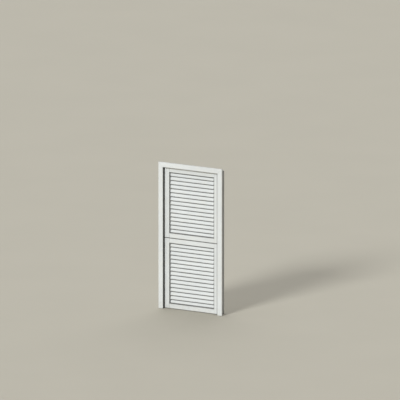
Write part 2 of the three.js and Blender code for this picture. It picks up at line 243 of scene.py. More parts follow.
def primer(name, base, axis):
    """Flat back-priming on the faces that are covered once the frame is fitted: thin, with the sawn wood showing."""
    m, nt, bsdf = new_material(name)
    stretch = {"X": (0.03, 1, 1), "Y": (1, 0.03, 1), "Z": (1, 1, 0.03)}[axis]
    grain = noise(nt, coords(nt, stretch), 150, 4.0, 0.65, 0.6)
    saw = noise(nt, coords(nt, {"X": (1, 0.2, 0.2), "Y": (0.2, 1, 0.2), "Z": (0.2, 0.2, 1)}[axis]), 420, 2.0, 0.5)
    cloud = noise(nt, coords(nt, (1, 1, 1)), 5.0, 4.0, 0.6)
    rings = noise(nt, coords(nt, stretch), 46, 3.0, 0.6, 1.2)
    c = mix(nt, remap(nt, cloud, 0.3, 0.7, 0.0, 1.0, True), shade(base, 0.94), shade(base, 1.05))
    c = mix(nt, remap(nt, rings, 0.46, 0.66, 0.0, 0.55, True), c, tuple(b * k for b, k in zip(base, (0.84, 0.78, 0.70))))
    c = mix(nt, remap(nt, grain, 0.55, 0.75, 0.0, 0.5, True), c, tuple(b * k for b, k in zip(base, (0.80, 0.72, 0.62))))
    link(nt, c, bsdf.inputs["Base Color"])
    link(nt, remap(nt, cloud, 0.3, 0.7, 0.62, 0.80), bsdf.inputs["Roughness"])
    h = math2(nt, "ADD", math2(nt, "MULTIPLY", grain, 0.7), math2(nt, "MULTIPLY", saw, 0.3))
    b = nt.nodes.new("ShaderNodeBump")
    b.inputs["Strength"].default_value = 0.4
    b.inputs["Distance"].default_value = 0.0008
    link(nt, h, b.inputs["Height"])
    link(nt, b.outputs["Normal"], bsdf.inputs["Normal"])
    return m


def metal(name, base, rough, scratch=(1, 1, 0.04), dark=0.75):
    m, nt, bsdf = new_material(name)
    bsdf.inputs["Metallic"].default_value = 1.0
    lines = noise(nt, coords(nt, scratch), 2600, 2.0, 0.6)
    cloud = noise(nt, coords(nt, (1, 1, 1)), 90, 3.0, 0.6)
    spots = noise(nt, coords(nt, (1, 1, 1)), 420, 3.0, 0.6)
    c = mix(nt, remap(nt, cloud, 0.3, 0.7, 0.0, 1.0, True), shade(base, dark), base)
    c = mix(nt, remap(nt, spots, 0.60, 0.75, 0.0, 0.6, True), c, shade(base, 0.55))
    edge = attribute(nt, "edge")
    c = mix(nt, math2(nt, "MULTIPLY", edge, 0.5), c, shade(base, 1.25))
    link(nt, c, bsdf.inputs["Base Color"])
    r = remap(nt, lines, 0.3, 0.7, rough - 0.08, rough + 0.12)
    r = math2(nt, "ADD", r, remap(nt, spots, 0.55, 0.75, 0.0, 0.12))
    link(nt, r, bsdf.inputs["Roughness"])
    b = nt.nodes.new("ShaderNodeBump")
    b.inputs["Strength"].default_value = 0.25
    b.inputs["Distance"].default_value = 0.0001
    link(nt, lines, b.inputs["Height"])
    link(nt, b.outputs["Normal"], bsdf.inputs["Normal"])
    return m


def plastic(name, base):
    m, nt, bsdf = new_material(name)
    cloud = noise(nt, coords(nt, (1, 1, 1)), 120, 3.0, 0.6)
    fine = noise(nt, coords(nt, (1, 1, 1)), 1800, 2.0, 0.5)
    c = mix(nt, remap(nt, cloud, 0.3, 0.7, 0.0, 1.0, True), shade(base, 0.93), shade(base, 1.04))
    link(nt, c, bsdf.inputs["Base Color"])
    link(nt, remap(nt, fine, 0.3, 0.7, 0.40, 0.56), bsdf.inputs["Roughness"])
    bsdf.inputs["Subsurface Weight"].default_value = 0.15
    bsdf.inputs["Subsurface Radius"].default_value = (0.002, 0.0018, 0.0014)
    b = nt.nodes.new("ShaderNodeBump")
    b.inputs["Strength"].default_value = 0.15
    b.inputs["Distance"].default_value = 0.0001
    link(nt, fine, b.inputs["Height"])
    link(nt, b.outputs["Normal"], bsdf.inputs["Normal"])
    return m


WHITE = (0.800, 0.812, 0.790)
GREY = (0.128, 0.132, 0.129)
BARE = (0.52, 0.45, 0.35)
white_z = paint("white_paint_upright", WHITE, "Z", BARE)
white_x = paint("white_paint_across", WHITE, "X", BARE)
# the slats take the same white 6% darker: painted shade against the extra light their tilted faces catch
white_slat_darkened = paint("white_paint_slats_darkened", shade(WHITE, 0.94), "X", (0.62, 0.58, 0.50), rubbed=0.12, dust_and_shade=0.8)
grey_z = paint("grey_paint_upright", GREY, "Z", (0.42, 0.38, 0.31), rough=0.5)
grey_x = paint("grey_paint_across", GREY, "X", (0.42, 0.38, 0.31), rough=0.5)
BACK = (0.440, 0.440, 0.425)
back_z = primer("back_primer_upright", BACK, "Z")
back_x = primer("back_primer_across", BACK, "X")
zinc = metal("zinc_plated_steel", (0.62, 0.63, 0.64), 0.34)
wire_steel = metal("spring_wire", (0.24, 0.25, 0.27), 0.36, (1, 1, 1), 0.8)
nylon = plastic("nylon", (0.70, 0.69, 0.64))

# -------------------------------------------------------------------- geometry

collection = bpy.context.scene.collection


def make(name, verts, faces, edge=None, materials=(), smooth_deg=35.0, painted_shade=None):
    """A mesh with two marks at each vertex: edge, where it is rubbed, and the painted-shade mark, where shade is
    painted into the colour.
    """
    me = bpy.data.meshes.new(name)
    me.from_pydata([tuple(v) for v in verts], [], faces)
    for label, values in (("edge", edge), ("painted_shade", painted_shade)):
        a = me.attributes.new(label, "FLOAT", "POINT")
        a.data.foreach_set("value", list(values) if values is not None else [0.0] * len(verts))
    bm = bmesh.new()
    bm.from_mesh(me)
    bmesh.ops.remove_doubles(bm, verts=bm.verts, dist=1e-6)
    bmesh.ops.recalc_face_normals(bm, faces=bm.faces)
    bm.to_mesh(me)
    bm.free()
    smooth(me, smooth_deg)
    for m in materials:
        me.materials.append(m)
    ob = bpy.data.objects.new(name, me)
    collection.objects.link(ob)
    return ob


def smooth(me, deg=35.0):
    me.polygons.foreach_set("use_smooth", [True] * len(me.polygons))
    me.set_sharp_from_angle(angle=math.radians(deg))


def rounded(u0, u1, v0, v1, r, seg=4, sup=0.004, inset=0.0, painted_shade=(0, 0, 0, 0)):
    """Rectangle with rounded corners, counter-clockwise from the (u0, v0) corner, as (u, v, edge, painted shade).
    r is one radius for each corner. Support points sup inside each corner hold the flats flat.
    The painted shade is given for the sides v0, u1, v1 and u0 in turn, and darkens the corners between them."""
    if not isinstance(r, (tuple, list)):
        r = (r,) * 4
    u0, u1, v0, v1 = u0 + inset, u1 - inset, v0 + inset, v1 - inset
    r = [max(x - inset, 2e-5) for x in r]
    centres = [(u0 + r[0], v0 + r[0]), (u1 - r[1], v0 + r[1]), (u1 - r[2], v1 - r[2]), (u0 + r[3], v1 - r[3])]
    out = []
    for k in range(4):
        cu, cv = centres[k]
        near = max(painted_shade[k - 1], painted_shade[k]) * 0.85
        for i in range(seg + 1):
            a = math.radians(180 + 90 * k + 90 * i / seg)
            out.append((cu + r[k] * math.cos(a), cv + r[k] * math.sin(a), 1.0, near))
        a, b = out[-1], centres[(k + 1) % 4]
        n = (k + 1) % 4
        start = math.radians(180 + 90 * n)
        b = (b[0] + r[n] * math.cos(start), b[1] + r[n] * math.sin(start))
        du, dv = b[0] - a[0], b[1] - a[1]
        length = math.hypot(du, dv)
        s = min(sup, length * 0.3)
        out.append((a[0] + du / length * s, a[1] + dv / length * s, 0.0, painted_shade[k]))
        out.append((b[0] - du / length * s, b[1] - dv / length * s, 0.0, painted_shade[k]))
    return out


def place(axis, u, v, t):
    return Vector((t, u, v)) if axis == "X" else Vector((u, v, t))


def board(name, axis, section, t0, t1, ease=0.0008, sup=0.004, lean0=None, lean1=None, materials=(), steps=2, end_shade=(0.0, 0.0)):
    """A straight board: section(inset) swept along an axis from t0 to t1, with eased ends.
    lean0 and lean1 give how far the end at t0 or t1 shifts at (u, v), for mitres. The last argument is the painted
    shade on the two ends."""
    rings = []
    zero = lambda u, v: 0.0
    lean0, lean1 = lean0 or zero, lean1 or zero

    def ring(inset, t, lean, e, g=0.0):
        rings.append([(place(axis, q[0], q[1], t + lean(q[0], q[1])), max(q[2], e), max(g, q[3] if len(q) > 3 else 0.0))
                      for q in section(inset)])

    for i in range(steps + 1):
        a = math.radians(90 * i / steps)
        ring(ease * (1 - math.sin(a)), t0 + ease * (1 - math.cos(a)), lean0, 1.0, end_shade[0])
    ring(0.0, t0 + ease + sup, lean0, 0.0)
    span = t1 - t0
    mids = max(1, int(span / 0.25))
    for i in range(1, mids):
        ring(0.0, t0 + span * i / mids, zero, 0.0)
    ring(0.0, t1 - ease - sup, lean1, 0.0)
    for i in range(steps, -1, -1):
        a = math.radians(90 * i / steps)
        ring(ease * (1 - math.sin(a)), t1 - ease * (1 - math.cos(a)), lean1, 1.0, end_shade[1])
    n = len(rings[0])
    verts = [q[0] for r in rings for q in r]
    edge = [q[1] for r in rings for q in r]
    painted_shade = [q[2] for r in rings for q in r]
    faces = []
    for k in range(len(rings) - 1):
        for i in range(n):
            j = (i + 1) % n
            faces.append((k * n + i, k * n + j, (k + 1) * n + j, (k + 1) * n + i))
    faces.append(tuple(range(n - 1, -1, -1)))
    faces.append(tuple(range((len(rings) - 1) * n, len(rings) * n)))
    return make(name, verts, faces, edge, materials, painted_shade=painted_shade)


def prism(name, axis, section, t0, t1, materials=()):
    """A plain section swept from t0 to t1, used for slats and as a cutting tool."""
    n = len(section)
    edge = [s[2] if len(s) > 2 else 0.0 for s in section]
    painted_shade = [s[3] if len(s) > 3 else 0.0 for s in section]
    verts = [place(axis, s[0], s[1], t) for t in (t0, t1) for s in section]
    faces = [(i, (i + 1) % n, n + (i + 1) % n, n + i) for i in range(n)]
    faces += [tuple(range(n - 1, -1, -1)), tuple(range(n, 2 * n))]
    return make(name, verts, faces, edge * 2, materials, painted_shade=painted_shade * 2)


def block(name, x0, x1, y0, y1, z0, z1):
    return prism(name, "Z", [(x0, y0), (x1, y0), (x1, y1), (x0, y1)], z0, z1)


def turned(name, profile, n=48, cx=None, cy=None, materials=(), closed=False):
    """Profile of (radius, height, edge) turned about a vertical line, the pivot axis unless another is given."""
    cx = AXIS_X if cx is None else cx
    cy = AXIS_Y if cy is None else cy
    verts, faces, edge, rings = [], [], [], []
    for p in profile:
        r, z, e = (*p, 0.0)[:3]
        if r < 1e-7:
            rings.append([len(verts)])
            verts.append((cx, cy, z))
            edge.append(e)
        else:
            rings.append(list(range(len(verts), len(verts) + n)))
            for i in range(n):
                a = 2 * math.pi * i / n
                verts.append((cx + r * math.cos(a), cy + r * math.sin(a), z))
                edge.append(e)
    pairs = list(zip(rings, rings[1:]))
    if closed:
        pairs.append((rings[-1], rings[0]))
    for a, b in pairs:
        for i in range(n):
            j = (i + 1) % n
            if len(a) == 1 and len(b) == 1:
                continue
            if len(a) == 1:
                faces.append((a[0], b[j], b[i]))
            elif len(b) == 1:
                faces.append((a[i], a[j], b[0]))
            else:
                faces.append((a[i], a[j], b[j], b[i]))
    return make(name, verts, faces, edge, materials)


def carve(ob, tools, operation="DIFFERENCE", deg=35.0):
    """Cuts or joins the tools, which are used up."""
    for tool in tools:
        mod = ob.modifiers.new("carve", "BOOLEAN")
        mod.operation = operation
        mod.solver = "EXACT"
        mod.object = tool
    bpy.context.view_layer.update()
    dg = bpy.context.evaluated_depsgraph_get()
    me = bpy.data.meshes.new_from_object(ob.evaluated_get(dg), preserve_all_data_layers=True, depsgraph=dg)
    ob.modifiers.clear()
    old = ob.data
    ob.data = me
    me.name = ob.name
    bpy.data.meshes.remove(old)
    for tool in tools:
        data = tool.data
        bpy.data.objects.remove(tool)
        bpy.data.meshes.remove(data)
    bm = bmesh.new()
    bm.from_mesh(me)
    bmesh.ops.remove_doubles(bm, verts=bm.verts, dist=2e-6)
    bmesh.ops.dissolve_degenerate(bm, dist=1e-6, edges=bm.edges)
    bm.to_mesh(me)
    bm.free()
    smooth(me, deg)
    return ob


def joined(name, obs):
    """Several separate closed tools as one mesh."""
    bm = bmesh.new()
    for o in obs:
        bm.from_mesh(o.data)
    me = bpy.data.meshes.new(name)
    bm.to_mesh(me)
    bm.free()
    for o in obs:
        data = o.data
        bpy.data.objects.remove(o)
        bpy.data.meshes.remove(data)
    ob = bpy.data.objects.new(name, me)
    collection.objects.link(ob)
    return ob


def settle(ob, body, slot, *nodes):
    ob.data.transform(Matrix.Translation((0, DEPTH_SHIFT, 0)))
    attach(ob, body)
    if nodes:
        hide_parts(*nodes)
    return ob


def paint_backs(ob, direction, index=1):
    """Gives the faces that look in a direction another of the piece's materials."""
    d = Vector(direction)
    for p in ob.data.polygons:
        if p.normal.dot(d) > 0.95:
            p.material_index = index


# ----------------------------------------------------------------- fixed frame

# casing boards, eased along the face and tight at the mitres, primed on the back, with painted shade along the feet at
# the floor
CASING_Y0, CASING_Y1 = -JY - GAP - CASING_T, -JY - GAP
FACE_R, BACK_R = 2.2 * MM, 0.6 * MM


def casing_leg(inset, x0, x1):
    return rounded(x0, x1, CASING_Y0, CASING_Y1, (FACE_R, FACE_R, BACK_R, BACK_R), inset=inset)


ob = board("casing_right_board", "Z", lambda i: casing_leg(i, CI, CO), 0.0, ZI - 0.4 * MM, 0.4 * MM,
           lean1=lambda u, v: u - CI, materials=(white_z, back_z, grey_z), end_shade=(0.9, 0.0))
paint_backs(ob, (0, 1, 0))
paint_backs(ob, (-1, 0, 0), 2)
settle(ob, "frame", "white_paint", "casing_right")
ob = board("casing_left_board", "Z", lambda i: casing_leg(i, -CO, -CI), 0.0, ZI - 0.4 * MM, 0.4 * MM,
           lean1=lambda u, v: -CI - u, materials=(white_z, back_z, grey_z), end_shade=(0.9, 0.0))
paint_backs(ob, (0, 1, 0))
paint_backs(ob, (1, 0, 0), 2)
settle(ob, "frame", "white_paint", "casing_left")
ob = board("casing_head_board", "X",
           lambda i: rounded(CASING_Y0, CASING_Y1, ZI, ZO, (FACE_R, BACK_R, BACK_R, FACE_R), inset=i),
           -CI, CI, 0.4 * MM, lean0=lambda u, v: ZI - v, lean1=lambda u, v: v - ZI, materials=(white_x, back_x, grey_x))
paint_backs(ob, (0, 1, 0))
paint_backs(ob, (0, 0, -1), 2)
settle(ob, "frame", "white_paint", "casing_head")

# lining: two jambs under a head
PLATE_Y0, PLATE_Y1 = AXIS_Y - PLATE_W / 2, AXIS_Y + PLATE_W / 2
BOTTOM_Z0 = 1 * MM
BOTTOM_TONGUE_Z0 = 1 * MM
MIDDLE_TONGUE_Z0 = UPPER_Z - SEAM + (SEAM - TONGUE_T) / 2
MIDDLE_Z0 = MIDDLE_TONGUE_Z0 + TONGUE_T / 2 - MIDDLE_PLATE_H / 2
TOP_X1 = JX - 3 * MM
TOP_X0 = TOP_X1 - TOP_PLATE_L
CORNER = 5 * MM

left = board("jamb_left_board", "Z", lambda i: rounded(-JX - JAMB_T, -JX, -JY, JY, 0.9 * MM, inset=i),
             0.0, OPEN_H - GAP, 0.5 * MM, materials=(grey_z, back_z))
paint_backs(left, (-1, 0, 0))
settle(left, "frame", "grey_paint", "jamb_left")

right = board("jamb_right_board", "Z", lambda i: rounded(JX, JX + JAMB_T, -JY, JY, 0.9 * MM, inset=i),
              0.0, OPEN_H - GAP, 0.5 * MM, materials=(grey_z, back_z))
paint_backs(right, (1, 0, 0))


def mortise_x(z0, z1):
    return prism("tool", "X", rounded(PLATE_Y0 - GAP, PLATE_Y1 + GAP, z0 - GAP, z1 + GAP, CORNER + GAP, 6),
                 JX - 5 * MM, JX + PLATE_T + GAP)


carve(right, [mortise_x(BOTTOM_Z0, BOTTOM_Z0 + BOTTOM_PLATE_H), mortise_x(MIDDLE_Z0, MIDDLE_Z0 + MIDDLE_PLATE_H)])
settle(right, "frame", "grey_paint", "jamb_right")

head = board("head_jamb_board", "X",
             lambda i: rounded(-JY, JY, OPEN_H, OPEN_H + JAMB_T, 0.9 * MM, inset=i),
             -JX - JAMB_T, JX + JAMB_T, 0.5 * MM, materials=(grey_x, back_x))
for out in ((0, 0, 1), (-1, 0, 0), (1, 0, 0)):
    paint_backs(head, out)
carve(head, [prism("tool", "Z", rounded(TOP_X0 - GAP, TOP_X1 + GAP, PLATE_Y0 - GAP, PLATE_Y1 + GAP, CORNER + GAP, 6),
                   OPEN_H - 5 * MM, OPEN_H + PLATE_T + GAP)])
settle(head, "frame", "grey_paint", "head_jamb")

# ------------------------------------------------------------- pivot hardware

SCREW_R = 4.2 * MM


def cone_tool(name, centre, direction, grow=0.25 * MM):
    """Countersink: a cone that opens along direction."""
    r = SCREW_R + grow
    ob = turned(name, [(0, -2.8 * MM), (1.6 * MM, -2.8 * MM), (r, 0), (r, 2 * MM), (0, 2 * MM)], 32, 0, 0)
    turn = Vector((0, 0, 1)).rotation_difference(Vector(direction)).to_matrix().to_4x4()
    ob.data.transform(Matrix.Translation(centre) @ turn)
    return ob


def make_screw_mesh():
    """Countersunk screw head with a cross recess, its face at z = 0 and its shank below."""
    ob = turned("screw_master", [
        (0, -16 * MM), (0.9 * MM, -14 * MM), (1.9 * MM, -11 * MM), (1.9 * MM, -2.6 * MM),
        (SCREW_R, -0.25 * MM, 0.6), (SCREW_R, 0.0, 1.0), (SCREW_R - 0.25 * MM, 0.12 * MM, 0.8),
        (SCREW_R * 0.55, 0.30 * MM), (0, 0.34 * MM)], 32, 0, 0, (zinc,))
    arms = []
    for turn in (0, 90):
        arm = make("tool", [
            (-0.55 * MM, -2.4 * MM, 1.0 * MM), (0.55 * MM, -2.4 * MM, 1.0 * MM), (0.55 * MM, 2.4 * MM, 1.0 * MM), (-0.55 * MM, 2.4 * MM, 1.0 * MM),
            (-0.35 * MM, -0.9 * MM, -1.9 * MM), (0.35 * MM, -0.9 * MM, -1.9 * MM), (0.35 * MM, 0.9 * MM, -1.9 * MM), (-0.35 * MM, 0.9 * MM, -1.9 * MM)],
            [(3, 2, 1, 0), (4, 5, 6, 7), (0, 1, 5, 4), (1, 2, 6, 5), (2, 3, 7, 6), (3, 0, 4, 7)])
        arm.data.transform(Matrix.Rotation(math.radians(turn), 4, "Z"))
        arms.append(arm)
    carve(ob, arms)
    me = ob.data
    bpy.data.objects.remove(ob)
    return me


screw_mesh = make_screw_mesh()
screw_no = [0]


def screw(centre, direction, twist):
    screw_no[0] += 1
    ob = bpy.data.objects.new(f"screw_{screw_no[0]:02d}", screw_mesh.copy())
    turn = Vector((0, 0, 1)).rotation_difference(Vector(direction)).to_matrix().to_4x4()
    ob.data.transform(Matrix.Translation(centre) @ turn @ Matrix.Rotation(math.radians(twist), 4, "Z"))
    collection.objects.link(ob)
    settle(ob, "frame", "bright_steel")


def plate_board(axis, u0, u1, v0, v1, t0, t1, name):
    e = 0.5 * MM
    return board(name, axis, lambda i: rounded(u0, u1, v0, v1, CORNER, 8, 0.002, inset=i), t0, t1, e, 0.0004,
                 materials=(zinc,))


def tongue_section(inset):
    """Tongue outline in (x, y): square against the jamb plate, round about the axis."""
    r = TONGUE_END_R - inset
    out = [(JX + 1.5 * MM, AXIS_Y - r, 1.0), (JX + 1.5 * MM, AXIS_Y + r, 1.0)]
    for i in range(25):
        a = math.radians(90 + 180 * i / 24)
        out.append((AXIS_X + r * math.cos(a), AXIS_Y + r * math.sin(a), 1.0))
    return out


def bracket(name, z0, h, tongue_z0, screws, node):
    ob = plate_board("X", PLATE_Y0, PLATE_Y1, z0, z0 + h, JX, JX + PLATE_T, name)
    arm = board("tool", "Z", tongue_section, tongue_z0, tongue_z0 + TONGUE_T, 0.5 * MM, 0.0004)
    carve(ob, [arm], "UNION")
    tools = [turned("tool", [(0, tongue_z0 - 0.01), (PIN_HOLE_R, tongue_z0 - 0.01), (PIN_HOLE_R, tongue_z0 + 0.014), (0, tongue_z0 + 0.014)], 48)]
    places = [Vector((JX, y, z)) for y, z in screws]
    tools += [cone_tool("tool", c, (-1, 0, 0)) for c in places]
    carve(ob, tools)
    settle(ob, "frame", "bright_steel", node)
    for k, c in enumerate(places):
        screw(c + Vector((0.15 * MM, 0, 0)), (-1, 0, 0), 17 + 41 * k)


bracket("bottom_bracket", BOTTOM_Z0, BOTTOM_PLATE_H, BOTTOM_TONGUE_Z0,
        [(AXIS_Y - 9 * MM, 22 * MM), (AXIS_Y + 9 * MM, 22 * MM), (AXIS_Y, 47 * MM)], "bottom_pivot_bracket")
zm = MIDDLE_TONGUE_Z0 + TONGUE_T / 2
bracket("middle_bracket", MIDDLE_Z0, MIDDLE_PLATE_H, MIDDLE_TONGUE_Z0,
        [(AXIS_Y - 9 * MM, zm - 22 * MM), (AXIS_Y + 9 * MM, zm - 22 * MM), (AXIS_Y, zm - 44 * MM),
         (AXIS_Y - 9 * MM, zm + 22 * MM), (AXIS_Y + 9 * MM, zm + 22 * MM), (AXIS_Y, zm + 44 * MM)], "middle_pivot_bracket")

top = plate_board("Z", TOP_X0, TOP_X1, PLATE_Y0, PLATE_Y1, OPEN_H, OPEN_H + PLATE_T, "top_plate")
top_screws = [Vector((TOP_X0 + 8 * MM, AXIS_Y - 9 * MM, OPEN_H)), Vector((TOP_X0 + 8 * MM, AXIS_Y + 9 * MM, OPEN_H)),
              Vector((AXIS_X + 14 * MM, AXIS_Y - 11 * MM, OPEN_H)), Vector((AXIS_X + 14 * MM, AXIS_Y + 11 * MM, OPEN_H))]
carve(top, [turned("tool", [(0, OPEN_H - 0.01), (PIN_HOLE_R, OPEN_H - 0.01), (PIN_HOLE_R, OPEN_H + 0.014), (0, OPEN_H + 0.014)], 48)]
      + [cone_tool("tool", c, (0, 0, -1)) for c in top_screws])
settle(top, "frame", "bright_steel", "top_pivot_plate")
for k, c in enumerate(top_screws):
    screw(c + Vector((0, 0, 0.15 * MM)), (0, 0, -1), 29 + 53 * k)


def pin_profile(z_low, tongue_top):
    c0, r, f = tongue_top + GAP, PIN_R, 0.4 * MM
    c1 = c0 + COLLAR_T
    z_top = c1 + PIN_UP
    return [(0, z_low), (r - f, z_low, 0.6), (r, z_low + f, 0.6), (r, c0), (COLLAR_R - f, c0, 0.6), (COLLAR_R, c0 + f, 1.0),
            (COLLAR_R, c1 - f, 1.0), (COLLAR_R - f, c1, 0.6), (r + f, c1), (r, c1 + f), (r, z_top - 2 * MM, 0.3),
            (r - 0.4 * MM, z_top - 1.1 * MM, 0.8), (r - 2 * MM, z_top, 0.6), (0, z_top)]


BOTTOM_TOP = BOTTOM_TONGUE_Z0 + TONGUE_T
MIDDLE_TOP = MIDDLE_TONGUE_Z0 + TONGUE_T
settle(turned("bottom_pin", pin_profile(BOTTOM_TONGUE_Z0, BOTTOM_TOP), materials=(zinc,)), "frame", "bright_steel", "bottom_pivot_pin")
settle(turned("middle_pin", pin_profile(LOWER_Z + LEAF_H - PIN_IN_BUSH, MIDDLE_TOP), materials=(zinc,)), "frame", "bright_steel", "middle_pivot_pin")
z0, z1 = UPPER_Z + LEAF_H - PIN_IN_BUSH, OPEN_H + PLATE_T - GAP
settle(turned("top_pin", [(0, z0), (PIN_R - 1.2 * MM, z0, 0.6), (PIN_R, z0 + 1.2 * MM, 0.8), (PIN_R, z0 + 3 * MM), (PIN_R, z1 - 1 * MM),
                          (PIN_R, z1 - 0.4 * MM, 0.5), (PIN_R - 0.4 * MM, z1, 0.5), (0, z1)], materials=(zinc,)),
       "frame", "bright_steel", "top_pivot_pin")

# frame screws down through the head into the tops of the jambs
for sx in (-1, 1):
    for k, y in enumerate((-50 * MM, 0.0, 50 * MM)):
        screw(Vector((sx * (JX + JAMB_T / 2), y, OPEN_H + JAMB_T)), (0, 0, 1), 11 + 37 * k + 20 * sx)

# ---------------------------------------------------------------------- leaves


def slat_outline(yc, zc, grow=0.0, bullnose=True, foot=False, drop=0.0):
    """Slat section in (y, z): flat faces with rounded long edges, tilted with the front edge low.
    Painted shade lies high on the face, under the slat above, drop lower where the rail covers more of it,
    and at the foot of the slat that stands over the rail."""
    h, t = SLAT_CHORD / 2 + grow, SLAT_T / 2 + grow
    if bullnose:
        pts = []
        for q in rounded(-h, h, -t, t, t - 0.25 * MM, 6, 0.005):
            pts.append(q[:3])
            if len(pts) == 26 and not grow:  # on the front face, below the upper edge
                pts += [(x, t, 0.0) for x in (15 * MM - drop, 10.5 * MM - drop, -22 * MM, -26 * MM)]
    else:
        c = SLAT_CHAMFER
        pts = [(s, n, 0.0) for s, n in ((-h + c, -t), (h - c, -t), (h, -t + c), (h, t - c), (h - c, t), (-h + c, t), (-h, t - c), (-h, -t + c))]

    # painted shade: under the overlap of the slat above, and at the foot of the lowest slat
    def dirt(s, n):
        if foot and n > -t * 0.9 and s < 0:
            return min(1.0, max(0.0, (-22 * MM - s) / (4 * MM)))
        return min(1.0, max(0.0, (s + drop - 10.5 * MM) / (4.5 * MM))) if n > t * 0.5 else 0.0

    a = math.radians(SLAT_TILT)
    return [(yc + s * math.cos(a) - n * math.sin(a), zc + s * math.sin(a) + n * math.cos(a), e, dirt(s, n)) for s, n, e in pts]


def below(points, z_max):
    out = []
    for i, p in enumerate(points):
        q = points[(i + 1) % len(points)]
        if p[1] <= z_max:
            out.append(p)
        if (p[1] <= z_max) != (q[1] <= z_max):
            k = (z_max - p[1]) / (q[1] - p[1])
            out.append((p[0] + k * (q[0] - p[0]), z_max, 1.0, max(p[3], q[3])))
    return out


def blade(name, section):
    """One slat, from housing to housing, with painted shade in the corners at the stiles."""
    end = HOUSING_DEPTH - GAP
    near = ((-end, 1.0), (9 * MM, 1.0), (14 * MM, 0.6), (20 * MM, 0.12), (28 * MM, 0.0))
    far = ((-end, 1.0), (7 * MM, 0.9), (14 * MM, 0.6), (20 * MM, 0.12), (28 * MM, 0.0))
    stations = [(LOUVRE_X0 + d, g) for d, g in near] + [(0.0, 0.0)] + [(LOUVRE_X1 - d, g) for d, g in reversed(far)]
    n = len(section)
    verts = [place("X", q[0], q[1], x) for x, _ in stations for q in section]
    edge = [q[2] for _ in stations for q in section]
    painted_shade = [max(q[3], g) for _, g in stations for q in section]
    faces = [(k * n + i, k * n + (i + 1) % n, (k + 1) * n + (i + 1) % n, (k + 1) * n + i)
             for k in range(len(stations) - 1) for i in range(n)]
    faces += [tuple(range(n - 1, -1, -1)), tuple(range((len(stations) - 1) * n, len(stations) * n))]
    return make(name, verts, faces, edge, (white_slat_darkened,), painted_shade=painted_shade)


SECTION_HALF = max(p[1] for p in slat_outline(0, 0, bullnose=False))


def pivot_stile_section(inset):
    """Stile outline in (x, y): square at the louvres, round about the pivot axis."""
    # the fourth value of each point is painted shade: at the corners by the louvres, on the side facing them, and
    # towards the round nose by the pivot
    r = max(0.6 * MM - inset, 2e-5)
    x0, y0, y1 = LOUVRE_X1 + inset, LEAF_Y0 + inset, LEAF_Y1 - inset
    out = []
    for i in range(4):
        a = math.radians(180 + 90 * i / 3)
        out.append((x0 + r + r * math.cos(a), y0 + r + r * math.sin(a), 1.0, 0.25))
    out.append((x0 + r + 4 * MM, y0, 0.0, 0.0))
    out.append((AXIS_X - 17 * MM, y0, 0.0, 0.0))
    out.append((AXIS_X - 8 * MM, y0, 0.0, 0.38))
    rr = LEAF_T / 2 - inset
    for i in range(33):
        a = math.radians(-90 + 180 * i / 32)
        out.append((AXIS_X + rr * math.cos(a), AXIS_Y + rr * math.sin(a), 0.0, 0.48))
    out.append((AXIS_X - 8 * MM, y1, 0.0, 0.38))
    out.append((AXIS_X - 17 * MM, y1, 0.0, 0.0))
    out.append((x0 + r + 4 * MM, y1, 0.0, 0.0))
    for i in range(4):
        a = math.radians(90 + 90 * i / 3)
        out.append((x0 + r + r * math.cos(a), y1 - r + r * math.sin(a), 1.0, 0.25))
    out.append((x0, y1 - r - 4 * MM, 0.0, 0.8))
    out.append((x0, y0 + r + 4 * MM, 0.0, 0.8))
    return out


